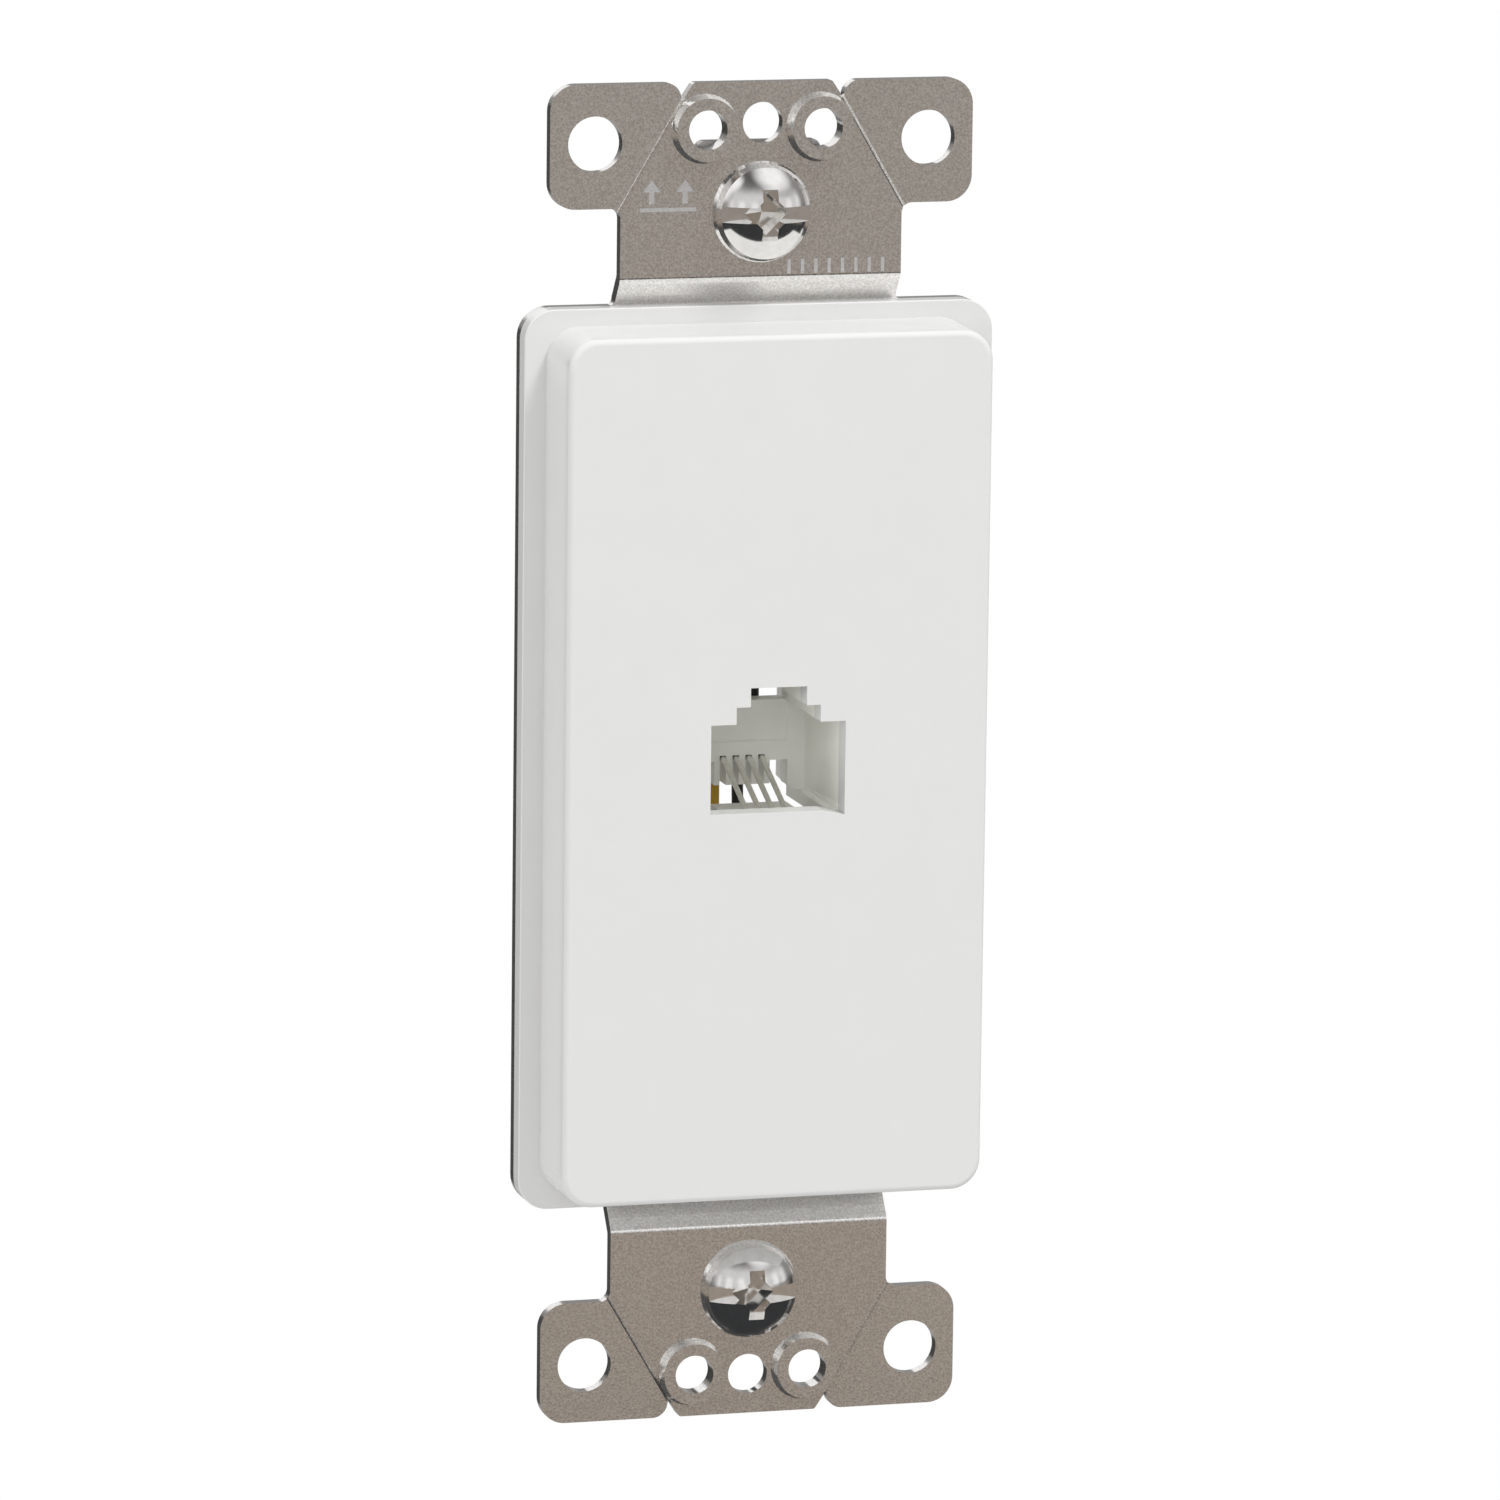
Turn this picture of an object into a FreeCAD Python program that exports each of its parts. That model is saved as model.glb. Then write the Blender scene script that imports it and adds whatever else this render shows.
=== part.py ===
import FreeCAD, Part
import math
import os

V = FreeCAD.Vector

# Telephone wall socket: a stamped steel strap with break-off ears, a white
# rectangular cover, a four-wire modular jack and four screw terminals behind.
# Millimetres, X to the right, Y into the wall, Z up. The origin lies between
# the two plate screw holes, on the back face of the ears, where the wall is.

# Strap, stamped from sheet steel
steel = 1.0
neck_height = 7.5
ear_height = 9.4
ear_reach = 5.5
ear_corner = 2.0
neck_width = 22.0
neck_fillet = 0.8
notch_half_width = 6.3
notch_depth = 1.35
notch_top_half_width = 5.4
notch_corner = 1.2
notch_lip_corner = 0.3
score_width = 0.28
score_depth = 0.2
jog_gap = 0.1
jog_rise = 1.9
jog_depth = 1.5
plate_corner = 2.35
bend_outer_round = 0.8
bend_inner_round = 0.3
plate_relief = 0.4

# Holes in the strap, placed so that the wall box screws come 83.3 apart and the plate screws 96.8
ear_hole_radius = 2.1
ear_hole_edge_x = 3.5
ear_hole_edge_z = 4.5
plate_hole_radius = 1.55
plate_hole_edge = 3.1
boss_hole_radius = 1.5
boss_hole_spacing_x = 9.0
boss_hole_edge = 3.5
boss_height = 1.0
boss_face_radius = 2.4
boss_base_radius = 2.65
boss_back_round = 0.35
box_screw_margin = 7.05
box_slot_width = 4.2
box_slot_length = 5.6
pad_height = 0.3
pad_top_radius = 3.6
pad_base_radius = 3.85
pad_recess_inset = 0.5

# Front cover, moulded in white plastic
flange_width = 36.66
flange_height = 69.2
flange_thickness = 1.5
flange_corner = 2.35
flange_edge = 0.08
flange_lip_x = 1.7
flange_lip_z = 1.32
block_depth = 6.5
block_corner = 2.45
block_draft = 0.13
block_edge_round = 0.45
cover_wall = 1.8
cover_front_wall = 1.8
cover_rib_corner = 1.0

# Opening of the jack, in the cover's front and through the jack body
opening_half_width = 5.27
opening_floor_z = -3.18
opening_wide_top_z = 3.64
opening_step_half_width = 3.3
opening_step_top_z = 4.94
opening_notch_half_width = 2.2
opening_notch_top_z = 6.39
opening_lead_in_start = 3.55
opening_lead_in_drop = 0.37

# Jack body, moulded, behind the cover's front wall
jack_wall = 1.7
jack_inner_half_width = 5.0
jack_floor_z = -4.0
jack_floor_thickness = 1.5
jack_roof_thickness = 1.7
jack_length = 8.3
jack_floor_length = 6.6
tongue_half_width = 3.0
tongue_slot_length = 4.56
ledge_reach = 0.4
ledge_top_z = -3.6
ledge_thickness = 0.5
shoulder_half_width = 3.6
shoulder_depth = 1.8
cheek_length = 6.35
cheek_thickness = 1.6
cheek_tail_length = 3.0
cheek_tail_z = -3.83
cheek_step_z = -4.07
cheek_bottom_z = -4.87
wall_foot_length = 8.65
shoulder_bottom_z = -3.08
shoulder_middle_x = 3.95
shoulder_middle_z = -3.33
shoulder_outer_z = -3.5
jack_flange_reach = 2.3
jack_flange_height = 24.0
jack_flange_clearance = 0.15
jack_flange_corner = 1.5
jack_rib_height = 2.0
jack_rib_thickness = 1.2
jack_rib_clearance = 0.1
clamp_rib_z = 11.0
clamp_rib_thickness = 1.2

# Comb that guides the four contact wires
contact_count = 4
contact_pitch = 1.02
contact_radius = 0.21
comb_top_z = 3.62
comb_step_z = 0.4
comb_step_recess = 0.15
comb_lower_edge_z = -1.08
comb_tooth_tip_z = -2.9
comb_teeth_half_width = 2.2
comb_slot_width = 0.5
comb_slot_top_z = -0.62

# Contact wires, in the plane across X
wire_front_y = -4.7
wire_back_z = -0.86
wire_tail_y = 5.2
wire_tail_bend = 0.6
wire_tail_up_z = 1.0
wire_tail_down_z = -2.6
wire_slope_bend = 1.5

# Rear plate that carries the terminals
carrier_inset_x = 1.83
carrier_inset_z = 3.6
carrier_thickness = 3.0
carrier_corner = 3.0
carrier_window_gap = 1.0
carrier_window_height = 27.0
carrier_window_corner = 2.0
post_size = 9.4
post_height = 3.5
post_corner = 1.0
terminal_edge_x = 6.1
terminal_edge_z = 11.0

# Terminal hardware
terminal_plate_size = 8.4
terminal_plate_thickness = 0.8
terminal_plate_lip = 1.6
terminal_plate_corner = 0.8
lug_ring_radius = 2.7
lug_thickness = 0.4
lug_barrel_radius = 0.75
lug_barrel_length = 2.4
lug_neck_length = 3.2
washer_size = 6.4
washer_thickness = 0.6
washer_corner = 0.5
terminal_screw_radius = 1.45
terminal_screw_head_radius = 2.9
terminal_screw_head_height = 1.7
terminal_screw_reach = 4.6
screw_slot_width = 0.9
screw_slot_depth = 0.8
thread_clearance = 0.05

# Leads from the contact wires to the terminals: each point of a route is a share of the way
# across, back and along to its terminal
lead_radius = 0.45
lead_bend_share = 0.45
lead_straight_share = 0.42
lead_shares = {
    "red": [(0, 0, 0.27), (0.09, 0.28, 0.53), (0.44, 0.78, 0.77)],
    "green": [(0, 0, 0.29), (0.04, 0.23, 0.52), (0.35, 0.76, 0.78)],
    "yellow": [(0, 0, 0.32), (0.08, 0.28, 0.56), (0.31, 0.8, 0.8)],
    "black": [
        (0, 0, -0.42), (0, 0.87, -0.42), (-0.08, 0.9, 0),
        (-0.08, 0.85, 0.35), (0.16, 0.8, 0.64), (0.39, 0.92, 0.86),
    ],
}

# Screws that hold the cover, strap and rear plate together
assembly_edge_x = 3.5
assembly_edge_z = 3.0
assembly_screw_radius = 1.3
assembly_head_radius = 2.6
assembly_head_height = 1.6
assembly_screw_reach = 4.6
assembly_clearance = 0.2
cover_boss_radius = 3.0

# Screws that fix the socket to the wall box, and their square retainers
box_screw_radius = 1.75
box_screw_length = 25.4
box_screw_neck_radius = 1.4
box_screw_neck_reach = 0.3
box_head_radius = 3.7
box_head_dome_radius = 3.48
box_head_foot_radius = 3.58
box_head_foot = 0.15
box_head_rim = 0.9
box_head_dome = 1.6
box_slot_cut_width = 1.2
box_recess_half_length = 1.93
box_socket_half_diagonal = 1.65
box_socket_point_depth = 1.2
box_screw_point = 0.6
retainer_width = 9.6
retainer_height = 9.2
retainer_thickness = 1.0
retainer_offset = 0.7
retainer_corner = 0.6

# Places that follow from the sizes above
wall_y = 0.0
ear_front_y = wall_y - steel
plate_front_y = ear_front_y + jog_depth
plate_back_y = plate_front_y + steel
flange_front_y = plate_front_y - flange_thickness
block_front_y = flange_front_y - block_depth
jack_front_y = block_front_y + cover_front_wall
jack_rear_y = jack_front_y + jack_length
comb_rear_y = jack_rear_y + shoulder_depth
cheek_rear_y = comb_rear_y + cheek_length
carrier_rear_y = plate_back_y + carrier_thickness
post_rear_y = carrier_rear_y + post_height
lug_front_y = post_rear_y + terminal_plate_thickness
washer_front_y = lug_front_y + lug_thickness
terminal_head_y = washer_front_y + washer_thickness
barrel_y = lug_front_y + lug_barrel_radius
ear_edge_z = flange_height / 2 + neck_height
strap_top_z = ear_edge_z + ear_height
ear_width = neck_width + 2 * ear_reach
jog_start_z = flange_height / 2 + jog_gap + jog_rise
ear_hole_spacing_x = ear_width - 2 * ear_hole_edge_x
ear_hole_spacing_z = 2 * (strap_top_z - ear_hole_edge_z)
plate_hole_spacing = 2 * (strap_top_z - plate_hole_edge)
boss_hole_spacing_z = 2 * (strap_top_z - boss_hole_edge)
box_screw_spacing = flange_height + 2 * box_screw_margin
block_width = flange_width - 2 * flange_lip_x
block_height = flange_height - 2 * flange_lip_z
carrier_width = flange_width - 2 * carrier_inset_x
carrier_height = flange_height - 2 * carrier_inset_z
terminal_x = carrier_width / 2 - terminal_edge_x
terminal_z = carrier_height / 2 - terminal_edge_z
assembly_spacing_x = carrier_width - 2 * assembly_edge_x
assembly_spacing_z = carrier_height - 2 * assembly_edge_z
pad_front_y = ear_front_y - pad_height
jack_outer_half_width = jack_inner_half_width + jack_wall
jack_flange_width = 2 * (jack_outer_half_width + jack_flange_reach)
carrier_window_width = 2 * (jack_outer_half_width + carrier_window_gap)
jack_top_z = opening_notch_top_z + jack_roof_thickness
jack_bottom_z = jack_floor_z - jack_floor_thickness


def rounded_wire(corners, y):
    """A closed outline at one depth, from (x, z, radius) corners joined by lines and arcs."""
    edges = []
    starts = []
    ends = []
    for index, (x, z, radius) in enumerate(corners):
        before = V(corners[index - 1][0], y, corners[index - 1][1])
        after = V(corners[(index + 1) % len(corners)][0], y, corners[(index + 1) % len(corners)][1])
        corner = V(x, y, z)
        inward = (before - corner).normalize()
        outward = (after - corner).normalize()
        if radius == 0:
            starts.append(corner)
            ends.append(corner)
            continue
        half_angle = inward.getAngle(outward) / 2
        reach = radius / math.tan(half_angle)
        centre = corner + (inward + outward).normalize() * (radius / math.sin(half_angle))
        start = corner + inward * reach
        end = corner + outward * reach
        middle = centre + (corner - centre).normalize() * radius
        starts.append(start)
        ends.append(end)
        edges.append(Part.Arc(start, middle, end).toShape())
    for index, end in enumerate(ends):
        start = starts[(index + 1) % len(starts)]
        if end.distanceToPoint(start) > 1e-7:
            edges.append(Part.LineSegment(end, start).toShape())
    return Part.Wire(Part.__sortEdges__(edges))


def prism(corners, start_y, end_y):
    """A straight solid between two depths, over an outline of (x, z, radius) corners."""
    return Part.Face(rounded_wire(corners, start_y)).extrude(V(0, end_y - start_y, 0))


def cylinder(x, z, radius, start_y, end_y):
    return Part.makeCylinder(radius, end_y - start_y, V(x, start_y, z), V(0, 1, 0))


def cone(x, z, front_radius, back_radius, start_y, end_y):
    return Part.makeCone(front_radius, back_radius, end_y - start_y, V(x, start_y, z), V(0, 1, 0))


def rounded_block(width, height, start_y, end_y, corner, x=0.0, z=0.0):
    """A block centred on (x, z), with its four long corners rounded."""
    signs = [(-1, -1), (1, -1), (1, 1), (-1, 1)]
    corners = [(x + sx * width / 2, z + sz * height / 2, corner) for sx, sz in signs]
    return prism(corners, start_y, end_y)


def box_between(low, high):
    return Part.makeBox(high[0] - low[0], high[1] - low[1], high[2] - low[2], V(*low))


def mirrored_quarters(spacing_x, spacing_z):
    """The four corners of a rectangle about the origin."""
    return [(side * spacing_x / 2, end * spacing_z / 2) for end in (1, -1) for side in (1, -1)]


def save(shape, node):
    shape.exportStep(os.path.join("parts", node + ".step"))


def strap_profile():
    """The bent sheet seen from the side, as wide as the flange: ears, two jogs and a set-back plate."""
    jog_end_z = jog_start_z - jog_rise
    bend_shift = steel * math.tan(math.atan2(jog_depth, jog_rise) / 2)
    front = [
        (ear_front_y, strap_top_z),
        (ear_front_y, jog_start_z),
        (plate_front_y, jog_end_z),
    ]
    back = [
        (plate_back_y, jog_end_z + bend_shift),
        (wall_y, jog_start_z + bend_shift),
        (wall_y, strap_top_z),
    ]
    lower_front = [(y, -z) for y, z in reversed(front)]
    lower_back = [(y, -z) for y, z in reversed(back)]
    points = [V(-flange_width / 2, y, z) for y, z in front + lower_front + lower_back + back]
    sheet = Part.Face(Part.makePolygon(points + points[:1])).extrude(V(flange_width, 0, 0))

    def bends(places):
        found = []
        for edge in sheet.Edges:
            middle = edge.BoundBox.Center
            runs_across = edge.BoundBox.XLength > flange_width / 2
            at_bend = any(abs(middle.y - y) + abs(abs(middle.z) - z) < 1e-6 for y, z in places)
            if runs_across and at_bend:
                found.append(edge)
        return found

    sheet = sheet.makeFillet(bend_outer_round, bends([front[1], back[0]]))
    return sheet.makeFillet(bend_inner_round, bends([front[2], back[1]]))


def strap_outline():
    """The blank before it is bent: ears, notches, neck and plate, as (x, z, radius) corners."""
    quarter = [
        (notch_top_half_width, strap_top_z, notch_lip_corner),
        (notch_half_width, strap_top_z - notch_depth, 0),
        (notch_half_width + score_width, strap_top_z, notch_corner),
        (ear_width / 2, strap_top_z, ear_corner),
        (ear_width / 2, ear_edge_z, ear_corner),
        (neck_width / 2, ear_edge_z, neck_fillet),
        (neck_width / 2, flange_height / 2, plate_relief),
        (flange_width / 2, flange_height / 2, plate_corner),
    ]
    lower = [(x, -z, radius) for x, z, radius in reversed(quarter)]
    right = quarter + lower
    left = [(-x, z, radius) for x, z, radius in reversed(right)]
    return right + left


def score_groove(side, end):
    """A V groove across the front of the strap, from a notch to the neck, where an ear snaps off."""
    start = V(side * notch_half_width, ear_front_y, end * (strap_top_z - notch_depth))
    finish = V(side * neck_width / 2, ear_front_y, end * ear_edge_z)
    along = (finish - start).normalize()
    start = start - along * score_width
    finish = finish + along * neck_fillet
    across = along.cross(V(0, 1, 0)) * (score_width / 2)
    lift = V(0, -score_depth, 0)
    points = [start + across * 2 + lift, start - across * 2 + lift, start + V(0, score_depth, 0)]
    return Part.Face(Part.makePolygon(points + points[:1])).extrude(finish - start)


def oblong(x, z, length, width, start_y, end_y):
    """A slot with round ends that runs along X."""
    half = (length - width) / 2
    bar = box_between((x - half, start_y, z - width / 2), (x + half, end_y, z + width / 2))
    ends = [cylinder(x + side * half, z, width / 2, start_y, end_y) for side in (1, -1)]
    return bar.multiFuse(ends).removeSplitter()


def make_strap():
    """The stamped strap, with its bosses, pads, holes, score lines and the window for the jack."""
    front = ear_front_y - boss_height - 1
    rear = plate_back_y + 1
    strap = strap_profile().common(prism(strap_outline(), front, rear))
    boss_places = mirrored_quarters(boss_hole_spacing_x, boss_hole_spacing_z)
    pad_places = [(0, end * box_screw_spacing / 2) for end in (1, -1)]
    raised = []
    for x, z in boss_places:
        raised.append(cone(x, z, boss_face_radius, boss_base_radius, ear_front_y - boss_height, ear_front_y))
    for x, z in pad_places:
        raised.append(cone(x, z, pad_top_radius, pad_base_radius, pad_front_y, ear_front_y))
    strap = strap.multiFuse(raised)
    cuts = []
    for x, z in boss_places:
        cuts.append(cylinder(x, z, boss_hole_radius, front, rear))
        mouth = boss_hole_radius + boss_back_round
        cuts.append(cone(x, z, boss_hole_radius, mouth, wall_y - boss_back_round, wall_y))
    for x, z in pad_places:
        cuts.append(oblong(x, z, box_slot_length, box_slot_width, front, rear))
        cuts.append(cylinder(x, z, pad_top_radius - pad_recess_inset, wall_y - pad_height, wall_y))
    for x, z in mirrored_quarters(ear_hole_spacing_x, ear_hole_spacing_z):
        cuts.append(cylinder(x, z, ear_hole_radius, front, rear))
    for end in (1, -1):
        cuts.append(cylinder(0, end * plate_hole_spacing / 2, plate_hole_radius, front, rear))
    for x, z in mirrored_quarters(assembly_spacing_x, assembly_spacing_z):
        cuts.append(cylinder(x, z, assembly_screw_radius + assembly_clearance, front, rear))
    window_width = jack_flange_width + 2 * jack_flange_clearance
    window_height = jack_flange_height + 2 * jack_flange_clearance
    cuts.append(rounded_block(window_width, window_height, front, rear, jack_flange_corner))
    for side in (1, -1):
        for end in (1, -1):
            cuts.append(score_groove(side, end))
    return strap.cut(cuts)


def opening_corners(half_width, floor_z):
    """The stepped outline of the jack, widest at the plug and narrow at its latch."""
    right = [
        (half_width, floor_z, 0),
        (half_width, opening_wide_top_z, 0),
        (opening_step_half_width, opening_wide_top_z, 0),
        (opening_step_half_width, opening_step_top_z, 0),
        (opening_notch_half_width, opening_step_top_z, 0),
        (opening_notch_half_width, opening_notch_top_z, 0),
    ]
    left = [(-x, z, radius) for x, z, radius in reversed(right)]
    return right + left


def make_cover():
    """The cover: a flange, a raised block with drafted sides, screw bosses, ribs and the jack opening."""
    flange = rounded_block(flange_width, flange_height, flange_front_y, plate_front_y, flange_corner)
    front_edges = [edge for edge in flange.Edges if edge.BoundBox.YMax < flange_front_y + 1e-6]
    flange = flange.makeChamfer(flange_edge, front_edges)
    outlines = []
    for y, inset in ((flange_front_y, 0), (block_front_y, block_draft)):
        half_x = block_width / 2 - inset
        half_z = block_height / 2 - inset
        corner = block_corner - inset
        signs = [(-1, -1), (1, -1), (1, 1), (-1, 1)]
        outlines.append(rounded_wire([(sx * half_x, sz * half_z, corner) for sx, sz in signs], y))
    block = Part.makeLoft(outlines, True, True)
    front_edges = [edge for edge in block.Edges if edge.BoundBox.YMax < block_front_y + 1e-6]
    block = block.makeFillet(block_edge_round, front_edges)
    cavity_width = block_width - 2 * cover_wall
    cavity_height = block_height - 2 * cover_wall
    cavity = rounded_block(cavity_width, cavity_height, jack_front_y, plate_front_y, block_corner - cover_wall / 2)
    cover = flange.fuse(block).cut(cavity)

    inside = []
    for x, z in mirrored_quarters(assembly_spacing_x, assembly_spacing_z):
        inside.append(cylinder(x, z, cover_boss_radius, jack_front_y, plate_front_y))
    for end in (1, -1):
        rib = rounded_block(
            cavity_width, clamp_rib_thickness, jack_front_y, plate_front_y, 0, 0, end * clamp_rib_z
        )
        inside.append(rib)
    rib_x = jack_outer_half_width + jack_rib_clearance
    rib_low = jack_bottom_z - jack_rib_clearance
    rib_high = jack_top_z + jack_rib_clearance
    rib_end_y = jack_front_y + jack_rib_height
    frame = box_between(
        (-rib_x - jack_rib_thickness, jack_front_y, rib_low - jack_rib_thickness),
        (rib_x + jack_rib_thickness, rib_end_y, rib_high + jack_rib_thickness),
    )
    frame = frame.cut(box_between((-rib_x, jack_front_y, rib_low), (rib_x, rib_end_y, rib_high)))
    inside.append(frame)
    inside = [piece.common(rounded_block(flange_width, block_height - cover_wall, jack_front_y, plate_front_y, cover_rib_corner))
              for piece in inside]
    cover = cover.multiFuse(inside)

    cuts = [prism(opening_corners(opening_half_width, opening_floor_z), block_front_y - 1, jack_front_y)]
    lead_in = [
        (opening_lead_in_start, opening_floor_z, 0),
        (opening_half_width, opening_floor_z, 0),
        (opening_half_width, opening_floor_z - opening_lead_in_drop, 0),
    ]
    cuts.append(prism(lead_in, block_front_y - 1, jack_front_y))
    for x, z in mirrored_quarters(assembly_spacing_x, assembly_spacing_z):
        pilot = assembly_screw_radius + thread_clearance
        cuts.append(cylinder(x, z, pilot, plate_front_y - assembly_screw_reach, plate_front_y))
    return cover.cut(cuts).removeSplitter()


def make_jack_body():
    """The jack: a stepped tube for the plug, a tongue floor, two shoulders, two cheeks and a flange."""
    tube = box_between(
        (-jack_outer_half_width, jack_front_y, jack_bottom_z),
        (jack_outer_half_width, comb_rear_y, jack_top_z),
    )
    flange = rounded_block(
        jack_flange_width, jack_flange_height, plate_front_y, plate_back_y, jack_flange_corner
    )
    tail_y = cheek_rear_y - cheek_tail_length
    side_view = [
        V(0, comb_rear_y, jack_top_z),
        V(0, cheek_rear_y, jack_top_z),
        V(0, cheek_rear_y, cheek_tail_z),
        V(0, tail_y, cheek_step_z),
        V(0, tail_y, cheek_bottom_z),
        V(0, comb_rear_y, cheek_bottom_z),
    ]
    cheek = Part.Face(Part.makePolygon(side_view + side_view[:1])).extrude(V(cheek_thickness, 0, 0))
    right_cheek = cheek.translated(V(jack_inner_half_width, 0, 0))
    left_cheek = cheek.translated(V(-jack_inner_half_width - cheek_thickness, 0, 0))
    body = tube.multiFuse([flange, right_cheek, left_cheek])

    floor_end_y = jack_front_y + jack_floor_length
    slot_start_y = floor_end_y - tongue_slot_length
    wall_foot_y = jack_front_y + wall_foot_length
    below = -jack_flange_height
    mouth = rounded_wire(opening_corners(opening_half_width, jack_floor_z), jack_front_y)
    throat = rounded_wire(opening_corners(jack_inner_half_width, jack_floor_z), jack_rear_y)
    cuts = [Part.makeLoft([mouth, throat], True, True)]
    cuts.append(box_between(
        (-shoulder_half_width, jack_rear_y, below),
        (shoulder_half_width, comb_rear_y, opening_notch_top_z),
    ))
    cuts.append(box_between(
        (-jack_inner_half_width, floor_end_y, below),
        (jack_inner_half_width, jack_rear_y, jack_floor_z),
    ))
    cuts.append(box_between(
        (-jack_outer_half_width, wall_foot_y, below),
        (jack_outer_half_width, comb_rear_y, cheek_bottom_z),
    ))
    ledges = []
    for side in (1, -1):
        tongue_x = side * tongue_half_width
        wall_x = side * jack_inner_half_width
        cuts.append(box_between(
            (min(tongue_x, wall_x), slot_start_y, below),
            (max(tongue_x, wall_x), floor_end_y, jack_floor_z),
        ))
        foot = [
            (side * shoulder_half_width, shoulder_bottom_z, 0),
            (side * shoulder_middle_x, shoulder_middle_z, 0),
            (wall_x, shoulder_outer_z, 0),
            (wall_x, below, 0),
            (side * shoulder_half_width, below, 0),
        ]
        cuts.append(prism(foot, jack_rear_y, comb_rear_y))
        edge_x = side * (jack_inner_half_width - ledge_reach)
        root_x = side * (jack_inner_half_width + jack_wall / 2)
        ledge = box_between(
            (min(edge_x, root_x), jack_front_y, ledge_top_z - ledge_thickness),
            (max(edge_x, root_x), jack_rear_y, ledge_top_z + ledge_reach),
        )
        ledges.append(ledge.cut(cylinder(edge_x, ledge_top_z + ledge_reach, ledge_reach, jack_front_y, jack_rear_y)))
    return body.cut(cuts).multiFuse(ledges).removeSplitter()


contact_numbers = {"yellow": 0, "green": 1, "red": 2, "black": 3}


def contact_x(number):
    """The place of a contact across the jack, counted from the left."""
    return (number - (contact_count - 1) / 2) * contact_pitch


def make_comb():
    """The comb behind the plug: a block with a stepped face and a slot for each contact wire."""
    block = box_between(
        (-shoulder_half_width, jack_rear_y, comb_lower_edge_z),
        (shoulder_half_width, comb_rear_y, comb_top_z),
    )
    teeth = box_between(
        (-comb_teeth_half_width, jack_rear_y, comb_tooth_tip_z),
        (comb_teeth_half_width, comb_rear_y, comb_lower_edge_z),
    )
    outlines = []
    for y, inset in ((jack_rear_y, 0), (jack_rear_y + comb_step_recess, comb_step_recess)):
        panel = [
            (inset - shoulder_half_width, comb_step_z + inset, 0),
            (shoulder_half_width - inset, comb_step_z + inset, 0),
            (shoulder_half_width - inset, comb_top_z, 0),
            (inset - shoulder_half_width, comb_top_z, 0),
        ]
        outlines.append(rounded_wire(panel, y))
    cuts = [Part.makeLoft(outlines, True, True)]
    for number in range(contact_count):
        x = contact_x(number)
        cuts.append(box_between(
            (x - comb_slot_width / 2, jack_rear_y, comb_tooth_tip_z),
            (x + comb_slot_width / 2, comb_rear_y, comb_slot_top_z),
        ))
    return block.fuse(teeth).cut(cuts).removeSplitter()


def bent_tube(points, radii, radius):
    """A round wire of one thickness: straight runs through the points, with an arc at each inner one."""
    edges = []
    last = points[0]
    for index in range(1, len(points) - 1):
        corner = points[index]
        inward = (points[index - 1] - corner).normalize()
        outward = (points[index + 1] - corner).normalize()
        half_angle = inward.getAngle(outward) / 2
        reach = radii[index - 1] / math.tan(half_angle)
        centre = corner + (inward + outward).normalize() * (radii[index - 1] / math.sin(half_angle))
        start = corner + inward * reach
        end = corner + outward * reach
        middle = centre + (corner - centre).normalize() * radii[index - 1]
        edges.append(Part.LineSegment(last, start).toShape())
        edges.append(Part.Arc(start, middle, end).toShape())
        last = end
    edges.append(Part.LineSegment(last, points[-1]).toShape())
    path = Part.Wire(edges)
    circle = Part.makeCircle(radius, points[0], points[1] - points[0])
    return path.makePipeShell([Part.Wire([circle])], True, True), path.Length


def largest_arcs(points):
    """The arc at each inner point of a lead, as large as its two runs allow."""
    radii = []
    for index in range(1, len(points) - 1):
        inward = points[index - 1] - points[index]
        outward = points[index + 1] - points[index]
        half_turn = (math.pi - inward.getAngle(outward)) / 2
        radii.append(lead_bend_share * min(inward.Length, outward.Length) / math.tan(half_turn))
    return radii


def make_contact_wire(number, tail_z):
    """A plated spring wire: it rises from the floor to the comb, passes a slot and turns up or down."""
    x = contact_x(number)
    points = [
        V(x, wire_front_y, jack_floor_z + contact_radius),
        V(x, jack_rear_y - contact_radius, wire_back_z),
        V(x, wire_tail_y, wire_back_z),
        V(x, wire_tail_y, tail_z),
    ]
    return bent_tube(points, [wire_slope_bend, wire_tail_bend], contact_radius)[0]


def make_carrier():
    """The rear plate, with a window for the jack, four terminal posts and clearance for the screws."""
    plate = rounded_block(carrier_width, carrier_height, plate_back_y, carrier_rear_y, carrier_corner)
    posts = []
    cuts = [rounded_block(
        carrier_window_width, carrier_window_height, plate_back_y, carrier_rear_y, carrier_window_corner
    )]
    for x, z in mirrored_quarters(2 * terminal_x, 2 * terminal_z):
        posts.append(rounded_block(post_size, post_size, carrier_rear_y, post_rear_y, post_corner, x, z))
        pilot = terminal_screw_radius + thread_clearance
        bottom_y = terminal_head_y - terminal_screw_reach - 2 * thread_clearance
        cuts.append(cylinder(x, z, pilot, bottom_y, post_rear_y))
    for x, z in mirrored_quarters(assembly_spacing_x, assembly_spacing_z):
        hole = assembly_screw_radius + assembly_clearance
        cuts.append(cylinder(x, z, hole, plate_back_y, carrier_rear_y))
    return plate.multiFuse(posts).cut(cuts).removeSplitter()


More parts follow.
